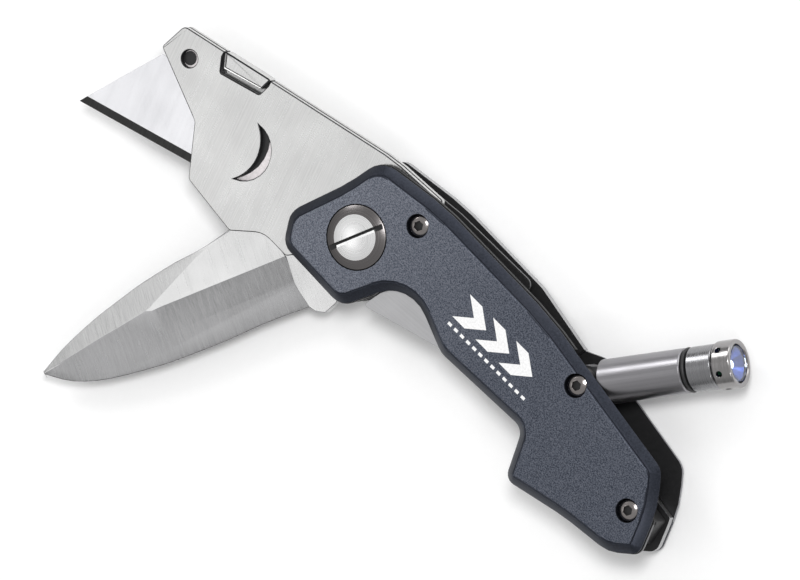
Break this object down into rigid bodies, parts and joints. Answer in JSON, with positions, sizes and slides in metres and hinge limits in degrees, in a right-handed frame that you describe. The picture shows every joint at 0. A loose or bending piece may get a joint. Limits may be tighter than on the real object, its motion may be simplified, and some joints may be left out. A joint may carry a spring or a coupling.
{
  "type": "folding utility knife",
  "caption": "Folding pocket tool with a trapezoid-blade cutter head, a spear-point knife blade and a swing-out light in a flat metal handle.",
  "frame": {"origin": "centre of the bounding box at the handle's flat back face, on which the tool lies", "axes": "+X along the handle toward the cutter head, +Y toward the belly where the blades fold in, +Z through the thickness toward the front scale"},
  "size_m": [0.1694, 0.123, 0.0155],
  "materials": {
    "anodised": "anodised, fine grain",
    "steel": "satin brushed",
    "bright_steel": "polished",
    "nickel": "satin turned",
    "black_plastic": "matte",
    "rubber": "matte",
    "brass": "plain",
    "green_board": "circuit board",
    "lens": "clear",
    "led": "clear epoxy"
  },
  "bodies": {
    "handle": {"front_scale": "anodised", "rear_scale": "anodised", "front_liner": "steel", "middle_liner": "steel", "rear_liner": "steel", "pivot_screw": "bright_steel", "pivot_nut": "steel", "stop_pin": "steel", "rear_spacer_lower": "black_plastic", "rear_spacer_upper": "black_plastic", "light_pivot_barrel": "steel", "front_screw_nose": "bright_steel", "front_screw_middle": "bright_steel", "front_screw_rear": "bright_steel", "rear_screw_nose": "bright_steel", "rear_screw_middle": "bright_steel", "rear_screw_rear": "bright_steel", "knife_washer_rear": "brass", "knife_washer_front": "brass", "head_washer_rear": "brass", "head_washer_front": "brass", "light_washer_front": "black_plastic", "light_washer_rear": "black_plastic"},
    "cutter_head": {"head_front_plate": "steel", "head_rear_plate": "steel"},
    "blade_release": {"release_button": "steel"},
    "snap_blade": {"utility_blade": "bright_steel"},
    "knife": {"knife_blade": "steel"},
    "light": {"light_swivel": "nickel", "light_tube": "nickel", "battery_spring": "bright_steel", "button_cell_1": "bright_steel", "button_cell_2": "bright_steel", "button_cell_3": "bright_steel", "light_o_ring": "rubber"},
    "light_switch_head": {"light_head": "nickel", "light_bezel": "bright_steel", "led_board": "green_board", "light_reflector": "bright_steel", "led": "led", "light_lens": "lens"},
    "head_lock": {"head_lock_arm": "steel"},
    "knife_lock": {"knife_lock_arm": "steel"}
  },
  "joints": [
    {"name": "cutter_head_fold", "type": "hinge", "parent": "handle", "child": "cutter_head", "pos_m": [0.0121, -0.01758, 0.0091], "axis": [0, 0, 1], "range_deg": [0, 162]},
    {"name": "knife_fold", "type": "hinge", "parent": "handle", "child": "knife", "pos_m": [0.0121, -0.01758, 0.005], "axis": [0, 0, 1], "range_deg": [-60, 111]},
    {"name": "light_swing", "type": "hinge", "parent": "handle", "child": "light", "pos_m": [-0.0493, -0.02958, 0.0073], "axis": [0, 0, 1], "range_deg": [-58, 31.5]},
    {"name": "light_switch_twist", "type": "hinge", "parent": "light", "child": "light_switch_head", "pos_m": [-0.0493, -0.02958, 0.0073], "axis": [-0.6414, -0.7672, 0], "range_deg": [0, 90]},
    {"name": "blade_change_slide", "type": "slide", "parent": "cutter_head", "child": "snap_blade", "axis": [0.9617, 0.274, 0], "range_m": [0, 0.031]},
    {"name": "blade_release_press", "type": "slide", "parent": "cutter_head", "child": "blade_release", "axis": [-0.2095, 0.9778, 0], "range_m": [0, 0.001], "stiffness_N_per_m": 1500},
    {"name": "head_lock_flex", "type": "hinge", "parent": "handle", "child": "head_lock", "pos_m": [-0.0399, -0.01758, 0.0114], "axis": [0, -1, 0], "range_deg": [0, 0.55], "stiffness_Nm_per_rad": 0.8},
    {"name": "knife_lock_flex", "type": "hinge", "parent": "handle", "child": "knife_lock", "pos_m": [-0.0399, -0.01758, 0.0032], "axis": [0, 1, 0], "range_deg": [0, 0.9], "stiffness_Nm_per_rad": 0.8}
  ]
}
